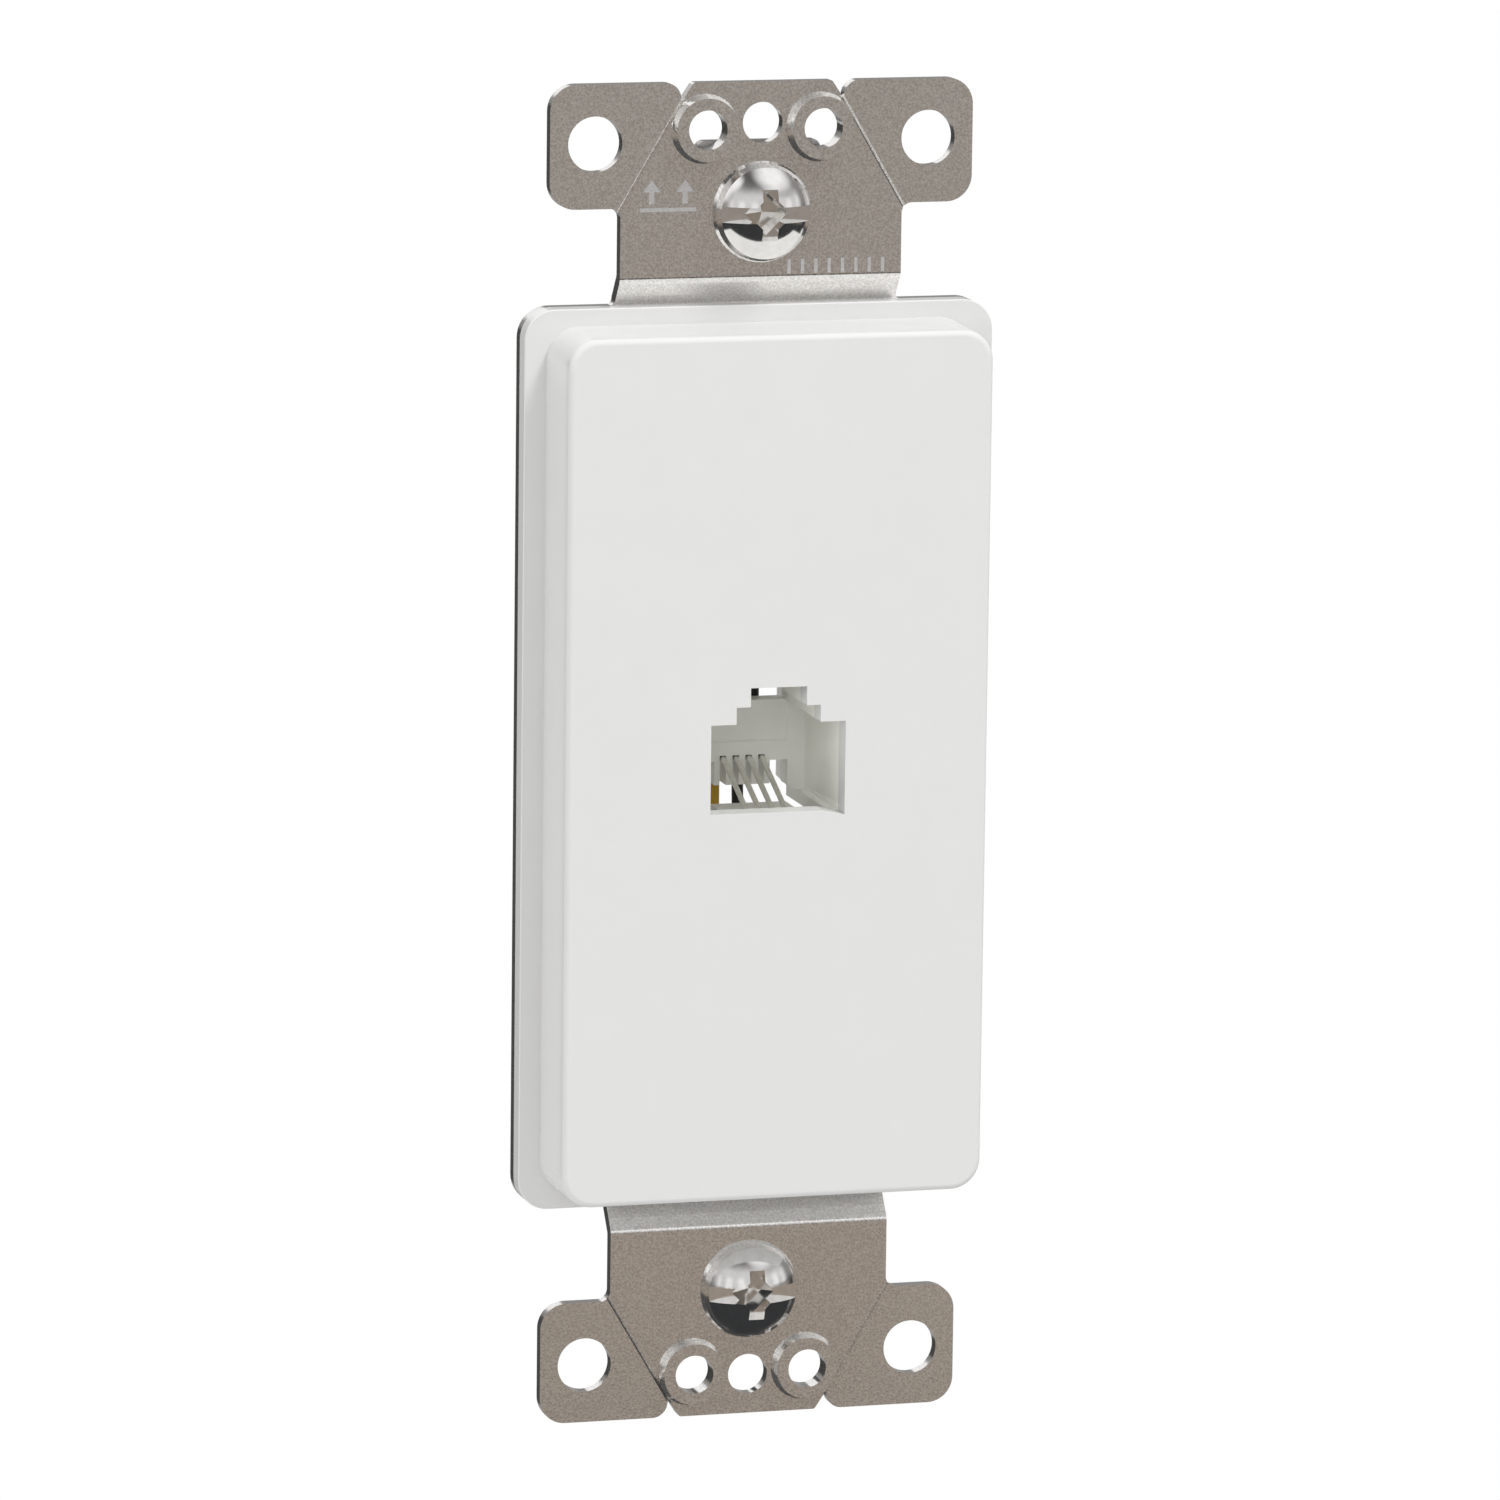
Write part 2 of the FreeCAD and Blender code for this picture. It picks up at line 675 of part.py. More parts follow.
def make_terminal_plate(x, z):
    """A brass plate on a post, with a lip turned towards the wall box to keep the wires in place."""
    plate = rounded_block(
        terminal_plate_size, terminal_plate_size, post_rear_y, lug_front_y, terminal_plate_corner, x, z
    )
    outer_x = math.copysign(terminal_plate_size / 2, x)
    inner_x = outer_x - math.copysign(terminal_plate_thickness, x)
    half_z = terminal_plate_size / 2 - terminal_plate_corner
    lip = box_between(
        (x + min(outer_x, inner_x), lug_front_y, z - half_z),
        (x + max(outer_x, inner_x), lug_front_y + terminal_plate_lip, z + half_z),
    )
    hole = cylinder(x, z, terminal_screw_radius + assembly_clearance, post_rear_y, lug_front_y)
    return plate.fuse(lip).cut(hole).removeSplitter()


def lead_end(x, z):
    """The point where a lead enters the barrel of its lug, on the side of the middle."""
    side = math.copysign(1, x)
    return V(x - side * (lug_neck_length + lug_barrel_length), barrel_y, z)


def make_lug(x, z):
    """A stamped ring with a short neck and a crimped barrel, under the screw's washer."""
    side = math.copysign(1, x)
    ring = cylinder(x, z, lug_ring_radius, lug_front_y, washer_front_y)
    neck_end = x - side * lug_neck_length
    neck = box_between(
        (min(x, neck_end), lug_front_y, z - lug_barrel_radius),
        (max(x, neck_end), washer_front_y, z + lug_barrel_radius),
    )
    barrel = Part.makeCylinder(lug_barrel_radius, lug_barrel_length, lead_end(x, z), V(side, 0, 0))
    hole = cylinder(x, z, terminal_screw_radius + assembly_clearance, lug_front_y, washer_front_y)
    return ring.multiFuse([neck, barrel]).cut(hole).removeSplitter()


def make_washer(x, z):
    """The square clamp washer under a terminal screw."""
    plate = rounded_block(washer_size, washer_size, washer_front_y, terminal_head_y, washer_corner, x, z)
    hole = cylinder(x, z, terminal_screw_radius + assembly_clearance, washer_front_y, terminal_head_y)
    return plate.cut(hole)


def slotted_screw(x, z, radius, head_radius, head_height, head_y, reach):
    """A binding-head screw driven from behind: the head's face is slotted and its edge is rounded."""
    shank = cylinder(x, z, radius, head_y - reach, head_y)
    head = cylinder(x, z, head_radius, head_y, head_y + head_height)
    rim = [edge for edge in head.Edges if edge.BoundBox.YMin > head_y + head_height - 1e-6]
    head = head.makeFillet(head_height / 3, rim)
    slot = box_between(
        (x - head_radius, head_y + head_height - screw_slot_depth, z - screw_slot_width / 2),
        (x + head_radius, head_y + head_height, z + screw_slot_width / 2),
    )
    return shank.fuse(head).cut(slot)


def make_box_screw(end):
    """The long screw to the wall box: a domed head with a slot and a cross recess, on a raised pad."""
    z = end * box_screw_spacing / 2
    rim_y = pad_front_y - box_head_rim
    top_y = rim_y - box_head_dome
    dome_radius = (box_head_dome_radius ** 2 + box_head_dome ** 2) / (2 * box_head_dome)
    half_radius = box_head_dome_radius / 2
    half_y = top_y + dome_radius - math.sqrt(dome_radius ** 2 - half_radius ** 2)
    tip_y = pad_front_y + box_screw_length
    neck_end_y = wall_y + retainer_thickness + box_screw_neck_reach
    dome = Part.Arc(V(0, top_y, z), V(half_radius, half_y, z), V(box_head_dome_radius, rim_y, z)).toShape()
    corners = [
        V(box_head_dome_radius, rim_y, z),
        V(box_head_radius, pad_front_y - box_head_foot, z),
        V(box_head_foot_radius, pad_front_y, z),
        V(box_screw_neck_radius, pad_front_y, z),
        V(box_screw_neck_radius, neck_end_y, z),
        V(box_screw_radius, neck_end_y, z),
        V(box_screw_radius, tip_y - box_screw_point, z),
        V(box_screw_radius - box_screw_point, tip_y, z),
        V(0, tip_y, z),
        V(0, top_y, z),
    ]
    profile = Part.Wire([dome] + Part.makePolygon(corners).Edges)
    screw = Part.Face(profile).revolve(V(0, 0, z), V(0, 1, 0), 360)
    slot = box_between(
        (-box_head_radius, top_y, z - box_slot_cut_width / 2),
        (box_head_radius, rim_y, z + box_slot_cut_width / 2),
    )
    cross = box_between(
        (-box_slot_cut_width / 2, top_y, z - box_recess_half_length),
        (box_slot_cut_width / 2, rim_y, z + box_recess_half_length),
    )
    reach = box_socket_half_diagonal
    points = [(reach, z, 0), (0, z + reach, 0), (-reach, z, 0), (0, z - reach, 0)]
    socket = prism(points, top_y, rim_y)
    mouth = rounded_wire(points, rim_y)
    tip = Part.Vertex(0, rim_y + box_socket_point_depth, z)
    point = Part.makeLoft([mouth, tip], True, True)
    return screw.cut([slot, cross, socket, point])


def make_retainer(end):
    """The square washer on the long screw's neck, behind the strap, that keeps it from falling out."""
    screw_z = end * box_screw_spacing / 2
    plate_z = screw_z + end * retainer_offset
    plate = rounded_block(
        retainer_width, retainer_height, wall_y, wall_y + retainer_thickness, retainer_corner, 0, plate_z
    )
    hole_radius = box_screw_neck_radius + thread_clearance
    hole = cylinder(0, screw_z, hole_radius, wall_y, wall_y + retainer_thickness)
    return plate.cut(hole)


def lead_route(colour):
    """The points that one lead passes, from its contact wire to the lug of its own terminal."""
    side = -1 if colour in ("yellow", "green") else 1
    end = -1 if colour in ("yellow", "black") else 1
    x = contact_x(contact_numbers[colour])
    tail_z = wire_tail_down_z if colour == "yellow" else wire_tail_up_z
    finish = lead_end(side * terminal_x, end * terminal_z)
    straight = V(finish.x * (1 - lead_straight_share), finish.y, finish.z)
    route = [V(x, wire_tail_y, tail_z)]
    for across, back, along in lead_shares[colour]:
        route.append(V(
            x + across * (straight.x - x),
            wire_tail_y + back * (finish.y - wire_tail_y),
            along * finish.z,
        ))
    return route + [straight, finish]


os.makedirs("parts", exist_ok=True)
save(make_strap(), "mounting_strap")
save(make_cover(), "front_cover")
save(make_jack_body(), "jack_body")
save(make_comb(), "contact_comb")
save(make_carrier(), "terminal_carrier")

terminals = {
    "red": (terminal_x, terminal_z),
    "green": (-terminal_x, terminal_z),
    "black": (terminal_x, -terminal_z),
    "yellow": (-terminal_x, -terminal_z),
}
for colour, (x, z) in terminals.items():
    number = contact_numbers[colour]
    tail_z = wire_tail_down_z if colour == "yellow" else wire_tail_up_z
    save(make_contact_wire(number, tail_z), "contact_wire_" + colour)
    route = lead_route(colour)
    lead, length = bent_tube(route, largest_arcs(route), lead_radius)
    save(lead, "lead_" + colour)
    save(make_lug(x, z), "lead_lug_" + colour)
    save(make_terminal_plate(x, z), "terminal_plate_" + colour)
    save(make_washer(x, z), "clamp_washer_" + colour)
    screw = slotted_screw(
        x, z, terminal_screw_radius, terminal_screw_head_radius,
        terminal_screw_head_height, terminal_head_y, terminal_screw_reach,
    )
    save(screw, "terminal_screw_" + colour)
    bends = ", ".join("%.1f" % radius for radius in largest_arcs(route))
    print("lead", colour, "length %.1f" % length, "bend radii", bends)

assembly_reach = carrier_rear_y - plate_front_y + assembly_screw_reach - thread_clearance
for index, (x, z) in enumerate(mirrored_quarters(assembly_spacing_x, assembly_spacing_z)):
    screw = slotted_screw(
        x, z, assembly_screw_radius, assembly_head_radius,
        assembly_head_height, carrier_rear_y, assembly_reach,
    )
    save(screw, "assembly_screw_%d" % (index + 1))

for end, name in ((1, "top"), (-1, "bottom")):
    save(make_box_screw(end), "box_screw_" + name)
    save(make_retainer(end), "screw_retainer_" + name)
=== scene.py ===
import math

import bmesh
import bpy
from mathutils import Matrix, Vector


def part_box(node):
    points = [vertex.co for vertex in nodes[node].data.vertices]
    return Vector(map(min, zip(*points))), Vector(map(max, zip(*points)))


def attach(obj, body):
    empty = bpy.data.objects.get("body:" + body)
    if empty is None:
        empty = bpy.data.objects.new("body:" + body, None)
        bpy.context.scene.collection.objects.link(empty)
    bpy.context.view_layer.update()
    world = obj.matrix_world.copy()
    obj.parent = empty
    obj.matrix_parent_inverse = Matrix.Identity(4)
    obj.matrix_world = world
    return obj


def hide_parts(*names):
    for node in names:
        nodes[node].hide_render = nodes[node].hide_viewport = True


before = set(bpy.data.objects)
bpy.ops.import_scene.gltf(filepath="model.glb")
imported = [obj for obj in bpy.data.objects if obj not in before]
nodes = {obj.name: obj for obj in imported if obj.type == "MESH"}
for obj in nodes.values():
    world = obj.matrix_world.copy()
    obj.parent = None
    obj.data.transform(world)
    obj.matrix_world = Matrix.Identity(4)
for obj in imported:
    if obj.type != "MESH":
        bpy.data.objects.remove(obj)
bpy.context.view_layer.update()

# Camera
# A long lens in front of the socket, a little to its left and above it.
# Its place and axes are fitted to the screw holes and edges of the real one.
camera_place = Vector((-0.194482, -0.689991, 0.131627))
camera_right = Vector((0.96306, -0.26901, 0.01193))
camera_up = Vector((0.03720, 0.17680, 0.98355))
camera_back = Vector((-0.26670, -0.94677, 0.18027))
camera_data = bpy.data.cameras.new("camera")
camera_data.lens = 229.56
camera_data.sensor_width = 36.0
camera_data.clip_start = 0.05
camera_data.clip_end = 20.0
camera = bpy.data.objects.new("camera", camera_data)
camera_axes = Matrix((camera_right, camera_up, camera_back)).transposed()
camera.matrix_world = Matrix.Translation(camera_place) @ camera_axes.to_4x4()
bpy.context.collection.objects.link(camera)
bpy.context.scene.camera = camera
bpy.context.scene.view_settings.view_transform = "Standard"

# Studio
# The socket hangs free over a small pale floor, in front of a plain white background.
# The white is what the camera and the reflections see; the light from it is a little dimmer.
white = (1.0, 1.0, 1.0, 1.0)
backdrop_strength = 1.0
sky_strength = 0.62
world = bpy.data.worlds.new("studio")
world.use_nodes = True
bpy.context.scene.world = world
world_tree = world.node_tree
world_tree.nodes.clear()
sky = world_tree.nodes.new("ShaderNodeBackground")
sky.inputs["Color"].default_value = white
sky.inputs["Strength"].default_value = sky_strength
backdrop = world_tree.nodes.new("ShaderNodeBackground")
backdrop.inputs["Color"].default_value = white
backdrop.inputs["Strength"].default_value = backdrop_strength
rays = world_tree.nodes.new("ShaderNodeLightPath")
seen = world_tree.nodes.new("ShaderNodeMath")
seen.operation = "MAXIMUM"
world_tree.links.new(rays.outputs["Is Camera Ray"], seen.inputs[0])
world_tree.links.new(rays.outputs["Is Glossy Ray"], seen.inputs[1])
seen_through = world_tree.nodes.new("ShaderNodeMath")
seen_through.operation = "MAXIMUM"
world_tree.links.new(seen.outputs[0], seen_through.inputs[0])
world_tree.links.new(rays.outputs["Is Transmission Ray"], seen_through.inputs[1])
world_mix = world_tree.nodes.new("ShaderNodeMixShader")
world_tree.links.new(seen_through.outputs[0], world_mix.inputs[0])
world_tree.links.new(sky.outputs[0], world_mix.inputs[1])
world_tree.links.new(backdrop.outputs[0], world_mix.inputs[2])
world_out = world_tree.nodes.new("ShaderNodeOutputWorld")
world_tree.links.new(world_mix.outputs[0], world_out.inputs["Surface"])

floor_z = -0.30
floor_reach = 0.55
floor_paint = (0.85, 0.85, 0.85, 1.0)
floor_roughness = 0.9
floor_corners = [(-1, -1), (1, -1), (1, 1), (-1, 1)]
floor_points = [(x * floor_reach, y * floor_reach, floor_z) for x, y in floor_corners]
floor_mesh = bpy.data.meshes.new("floor")
floor_mesh.from_pydata(floor_points, [], [(0, 1, 2, 3)])
floor_material = bpy.data.materials.new("pale_floor")
floor_material.use_nodes = True
floor_shader = floor_material.node_tree.nodes["Principled BSDF"]
floor_shader.inputs["Base Color"].default_value = floor_paint
floor_shader.inputs["Roughness"].default_value = floor_roughness
floor_mesh.materials.append(floor_material)
floor = bpy.data.objects.new("floor", floor_mesh)
floor.visible_glossy = False
bpy.context.collection.objects.link(floor)

# Reflection tent
# A round tent of grey card stands about the set, dark below. A brown card goes round it low in
# front, under a bright striped band, with white cards above, at the left and behind.
# Only gloss sees it, so the metal gets its tones and the white plastic gets no light from it.
tent_radius = 1.6
tent_segments = 96
tent_tones = (
    (0.35, (0.038, 0.039, 0.041, 1.0)),
    (0.49, (0.060, 0.058, 0.056, 1.0)),
    (0.56, (0.250, 0.245, 0.238, 1.0)),
    (0.80, (0.280, 0.272, 0.268, 1.0)),
    (0.94, (0.120, 0.118, 0.116, 1.0)),
)
grey_card = (0.340, 0.335, 0.330, 1.0)
dark_card = (0.035, 0.035, 0.035, 1.0)
brown_card_high = (0.300, 0.270, 0.242, 1.0)
brown_card_low = (0.340, 0.289, 0.244, 1.0)
band_bright = (0.90, 0.90, 0.90, 1.0)
band_dull = (0.55, 0.54, 0.54, 1.0)
white_card = (0.98, 0.98, 0.98, 1.0)
tent_form = bmesh.new()
bmesh.ops.create_uvsphere(
    tent_form, u_segments=tent_segments, v_segments=tent_segments // 2, radius=tent_radius
)
tent_mesh = bpy.data.meshes.new("reflection_tent")
tent_form.to_mesh(tent_mesh)
tent_form.free()
tent_cloth = bpy.data.materials.new("tent_card")
tent_cloth.use_nodes = True
tent_tree = tent_cloth.node_tree
tent_tree.nodes.clear()


def set_or_link(socket, value):
    """Puts a number or a colour on a socket of the tent, or links another socket to it."""
    if isinstance(value, bpy.types.NodeSocket):
        tent_tree.links.new(value, socket)
    else:
        socket.default_value = value


def tent_sum(operation, *values):
    """One sum over the tent, of sockets and numbers."""
    sum_node = tent_tree.nodes.new("ShaderNodeMath")
    sum_node.operation = operation
    for socket, value in zip(sum_node.inputs, values):
        set_or_link(socket, value)
    return sum_node.outputs[0]


def soft_edge(value, starts, full):
    """A card's soft edge: no card where the value is at its start, all of it where it is full."""
    edge = tent_tree.nodes.new("ShaderNodeMapRange")
    edge.interpolation_type = "SMOOTHSTEP"
    edge.inputs["From Min"].default_value = starts
    edge.inputs["From Max"].default_value = full
    tent_tree.links.new(value, edge.inputs["Value"])
    return edge.outputs["Result"]


def card_share(*edges):
    """How much of a card covers each place, from all its soft edges."""
    share = soft_edge(*edges[0])
    for edge in edges[1:]:
        share = tent_sum("MULTIPLY", share, soft_edge(*edge))
    return share


def lay_card(under, over, share):
    """Lays a card of one colour over what is already there."""
    layer = tent_tree.nodes.new("ShaderNodeMix")
    layer.data_type = "RGBA"
    tent_tree.links.new(share, layer.inputs["Factor"])
    set_or_link(layer.inputs["A"], under)
    set_or_link(layer.inputs["B"], over)
    return layer.outputs["Result"]


def round_card_share(towards, full_angle, end_angle):
    """How much of a round card hangs in one direction, fading out between two angles in degrees."""
    disc = tent_tree.nodes.new("ShaderNodeVectorMath")
    disc.operation = "DOT_PRODUCT"
    disc.inputs[1].default_value = Vector(towards).normalized()
    tent_tree.links.new(tent_look.outputs[0], disc.inputs[0])
    end = math.cos(math.radians(end_angle))
    full = math.cos(math.radians(full_angle))
    return soft_edge(disc.outputs["Value"], end, full)


# The tent's directions: across to the right, to the front, up, and the turn about the upright.
tent_place = tent_tree.nodes.new("ShaderNodeTexCoord")
tent_look = tent_tree.nodes.new("ShaderNodeVectorMath")
tent_look.operation = "NORMALIZE"
tent_tree.links.new(tent_place.outputs["Object"], tent_look.inputs[0])
tent_axes = tent_tree.nodes.new("ShaderNodeSeparateXYZ")
tent_tree.links.new(tent_look.outputs[0], tent_axes.inputs[0])
across, depth, height = tent_axes.outputs
front = tent_sum("MULTIPLY", depth, -1.0)
turn = tent_sum("ARCTAN2", across, front)

# The grey cloth, by height.
tent_wall = tent_tree.nodes.new("ShaderNodeValToRGB")
tent_tree.links.new(tent_sum("MULTIPLY_ADD", height, 0.5, 0.5), tent_wall.inputs["Fac"])
tent_ramp = tent_wall.color_ramp
while len(tent_ramp.elements) < len(tent_tones):
    tent_ramp.elements.new(0.5)
for element, (position, tone) in zip(tent_ramp.elements, tent_tones):
    element.position = position
    element.color = tone
tent_tone = tent_wall.outputs["Color"]

# A lighter grey card low behind and a dark one upright in front.
# Each edge is where the card starts and where it is full, in shares of the tent's radius.
grey_share = card_share((front, -0.15, -0.40), (height, 0.16, 0.04), (height, -0.85, -0.60))
tent_tone = lay_card(tent_tone, grey_card, grey_share)
dark_share = card_share(
    (across, -0.52, -0.44),
    (across, -0.06, -0.14),
    (height, 0.14, 0.02),
    (height, -0.46, -0.38),
    (front, -0.6, -0.8),
)
tent_tone = lay_card(tent_tone, dark_card, dark_share)

# The brown card round the front, which gives the strap's flat faces their tone.
brown_share = card_share((height, -0.34, -0.29), (height, 0.03, -0.02), (front, -0.1, 0.2))
brown_card = lay_card(brown_card_high, brown_card_low, soft_edge(height, -0.10, -0.28))
tent_tone = lay_card(tent_tone, brown_card, brown_share)

# The bright band over it, which sinks at the right and has dull upright stripes low down.
band_turn_left = (turn, math.radians(-78), math.radians(-58))
band_turn_right = (turn, math.radians(90), math.radians(70))
band_sink = 0.18
band_sinking = soft_edge(turn, math.radians(15), math.radians(50))
band_height = tent_sum("ADD", height, tent_sum("MULTIPLY", band_sinking, band_sink))
band_share = card_share((height, -0.01, 0.06), (band_height, 0.80, 0.48), band_turn_left, band_turn_right)
stripes_per_radian = 15.0
stripe_wave = tent_sum("SINE", tent_sum("MULTIPLY", turn, stripes_per_radian))
stripes = card_share((stripe_wave, -0.7, 0.9), (height, 0.45, 0.2))
band = lay_card(band_dull, band_bright, soft_edge(stripes, -0.6, 1.0))
tent_tone = lay_card(tent_tone, band, band_share)

# Round white cards: above, at the left for the scores and the bosses, and one small in front.
round_cards = (
    ((0.37, -0.30, 0.88), 8, 36),
    ((-0.86, 0.03, 0.48), 12, 24),
    ((-0.66, -0.10, 0.74), 9, 22),
    ((0.267, -0.87, 0.41), 5, 13),
)
for towards, full_angle, end_angle in round_cards:
    tent_tone = lay_card(tent_tone, white_card, round_card_share(towards, full_angle, end_angle))

# Two white cards high behind, for the steep edges of the strap and of its bosses.
back_share = card_share(
    (across, -0.70, -0.55),
    (across, 0.18, 0.15),
    (height, 0.21, 0.26),
    (front, -0.05, -0.20),
)
tent_tone = lay_card(tent_tone, white_card, back_share)
side_share = card_share((across, -0.48, -0.58), (height, 0.04, 0.20), (front, -0.10, -0.30))
tent_tone = lay_card(tent_tone, white_card, side_share)

tent_glow = tent_tree.nodes.new("ShaderNodeEmission")
tent_tree.links.new(tent_tone, tent_glow.inputs["Color"])
tent_out = tent_tree.nodes.new("ShaderNodeOutputMaterial")
tent_tree.links.new(tent_glow.outputs[0], tent_out.inputs["Surface"])
tent_mesh.materials.append(tent_cloth)
tent = bpy.data.objects.new("reflection_tent", tent_mesh)
tent.visible_camera = False
tent.visible_diffuse = False
tent.visible_shadow = False
tent.visible_transmission = False
bpy.context.collection.objects.link(tent)


# Lamps
# Three soft boxes light the white plastic: one high on the right, one in front, one on the left.
# Gloss doesn't see them, because the tent gives the metal its tones.
def softbox(name, place, size, power):
    """A square area lamp that faces the middle of the socket."""
    lamp_data = bpy.data.lights.new(name, "AREA")
    lamp_data.shape = "SQUARE"
    lamp_data.size = size
    lamp_data.energy = power
    lamp = bpy.data.objects.new(name, lamp_data)
    lamp.location = place
    lamp.rotation_euler = (-Vector(place)).to_track_quat("-Z", "Y").to_euler()
    lamp.visible_glossy = False
    bpy.context.collection.objects.link(lamp)


softbox("softbox_above", place=(0.40, -0.42, 0.95), size=0.30, power=7.8)
softbox("softbox_front", place=(-0.55, -1.15, 0.50), size=0.60, power=2.1)
softbox("softbox_left", place=(-1.00, -0.25, 0.10), size=0.50, power=2.0)


# Front cover
# Injection moulded in white plastic with a smooth gloss.
# It is screwed from behind through the strap.
def moulded_plastic(name, colour, roughness, grain, relief_depth):
    """Gloss plastic with the faint unevenness of a moulded face, in colour, gloss and relief."""
    darkest_share = 0.97
    gloss_spread = 0.15
    plastic_ior = 1.49
    material = bpy.data.materials.new(name)
    material.use_nodes = True
    tree = material.node_tree
    shader = tree.nodes["Principled BSDF"]
    shader.inputs["IOR"].default_value = plastic_ior
    place = tree.nodes.new("ShaderNodeTexCoord")
    noise = tree.nodes.new("ShaderNodeTexNoise")
    noise.inputs["Scale"].default_value = 1.0 / grain
    noise.inputs["Detail"].default_value = 3.0
    tree.links.new(place.outputs["Object"], noise.inputs["Vector"])
    tint = tree.nodes.new("ShaderNodeValToRGB")
    tint.color_ramp.elements[0].color = tuple(darkest_share * c for c in colour[:3]) + (1.0,)
    tint.color_ramp.elements[1].color = colour
    tree.links.new(noise.outputs["Fac"], tint.inputs["Fac"])
    tree.links.new(tint.outputs["Color"], shader.inputs["Base Color"])
    gloss = tree.nodes.new("ShaderNodeMapRange")
    gloss.inputs["To Min"].default_value = roughness * (1 - gloss_spread)
    gloss.inputs["To Max"].default_value = roughness * (1 + gloss_spread)
    tree.links.new(noise.outputs["Fac"], gloss.inputs["Value"])
    tree.links.new(gloss.outputs["Result"], shader.inputs["Roughness"])
    relief = tree.nodes.new("ShaderNodeBump")
    relief.inputs["Distance"].default_value = relief_depth
    tree.links.new(noise.outputs["Fac"], relief.inputs["Height"])
    tree.links.new(relief.outputs["Normal"], shader.inputs["Normal"])
    return material


def finish_solid(node, material):
    """Gives one node's solid its material."""
    mesh = nodes[node].data
    mesh.materials.clear()
    mesh.materials.append(material)


cover_plastic = moulded_plastic(
    "cover_plastic",
    colour=(0.75, 0.75, 0.74, 1.0),
    roughness=0.12,
    grain=0.004,
    relief_depth=0.000001,
)
finish_solid("front_cover", cover_plastic)

# Jack body and contact comb
# Both are moulded in natural white plastic, a little warmer than the cover.
# The comb is pressed between the jack's shoulders and guides the contact wires.
# Their colour is painted much lighter than the cover's, to make up for the shade inside the jack.
jack_plastic = moulded_plastic(
    "jack_plastic",
    colour=(0.94, 0.94, 0.89, 1.0),
    roughness=0.3,
    grain=0.002,
    relief_depth=0.000002,
)
finish_solid("jack_body", jack_plastic)
finish_solid("contact_comb", jack_plastic)


# Mounting strap
# Stamped and bent from sheet steel. The zinc plating leaves a fine dull speckle.
# The cover and the terminal carrier are screwed to it.
def plated_steel(name, dark, light, roughness, grain, relief_depth, metallic=1.0, painted_corner_shade=True):
    """Plated metal with a fine speckle in colour, gloss and relief, and painted shade darkening its
    corners.
    """
    speckle_dark_end = 0.35
    speckle_light_end = 0.65
    gloss_spread = 0.2
    painted_shade_reach = 0.0005
    painted_shade_samples = 8
    material = bpy.data.materials.new(name)
    material.use_nodes = True
    tree = material.node_tree
    shader = tree.nodes["Principled BSDF"]
    shader.inputs["Metallic"].default_value = metallic
    place = tree.nodes.new("ShaderNodeTexCoord")
    noise = tree.nodes.new("ShaderNodeTexNoise")
    noise.inputs["Scale"].default_value = 1.0 / grain
    noise.inputs["Detail"].default_value = 4.0
    tree.links.new(place.outputs["Object"], noise.inputs["Vector"])
    tint = tree.nodes.new("ShaderNodeValToRGB")
    tint.color_ramp.elements[0].position = speckle_dark_end
    tint.color_ramp.elements[0].color = dark
    tint.color_ramp.elements[1].position = speckle_light_end
    tint.color_ramp.elements[1].color = light
    tree.links.new(noise.outputs["Fac"], tint.inputs["Fac"])
    colour = tint.outputs["Color"]
    # Painted shade: the colour is darkened in corners and creases, where less light reaches.
    if painted_corner_shade:
        shade_in_corners = tree.nodes.new("ShaderNodeAmbientOcclusion")
        shade_in_corners.samples = painted_shade_samples
        shade_in_corners.inputs["Distance"].default_value = painted_shade_reach
        tree.links.new(colour, shade_in_corners.inputs["Color"])
        colour = shade_in_corners.outputs["Color"]
    tree.links.new(colour, shader.inputs["Base Color"])
    gloss = tree.nodes.new("ShaderNodeMapRange")
    gloss.inputs["To Min"].default_value = roughness * (1 - gloss_spread)
    gloss.inputs["To Max"].default_value = roughness * (1 + gloss_spread)
    tree.links.new(noise.outputs["Fac"], gloss.inputs["Value"])
    tree.links.new(gloss.outputs["Result"], shader.inputs["Roughness"])
    relief = tree.nodes.new("ShaderNodeBump")
    relief.inputs["Distance"].default_value = relief_depth
    tree.links.new(noise.outputs["Fac"], relief.inputs["Height"])
    tree.links.new(relief.outputs["Normal"], shader.inputs["Normal"])
    return material


strap_steel = plated_steel(
    "strap_steel",
    dark=(0.71, 0.69, 0.67, 1.0),
    light=(1.00, 0.99, 0.97, 1.0),
    roughness=0.12,
    grain=0.00016,
    relief_depth=0.000006,
    metallic=0.95,
    painted_corner_shade=False,
)
finish_solid("mounting_strap", strap_steel)

# Marks on the strap
# Two arrows that point up over a bar show which end goes up. A row of bars stands for the
# stamp of the making. Both are etched, a little lighter than the plating.
ear_thickness = 0.001
ear_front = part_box("screw_retainer_top")[0][1] - ear_thickness
mark_thickness = 0.00002
etched_steel = plated_steel(
    "etched_mark",
    dark=(0.80, 0.81, 0.82, 1.0),
    light=(0.92, 0.93, 0.94, 1.0),
    roughness=0.42,
    grain=0.0002,
    relief_depth=0.000002,
    metallic=0.90,
)


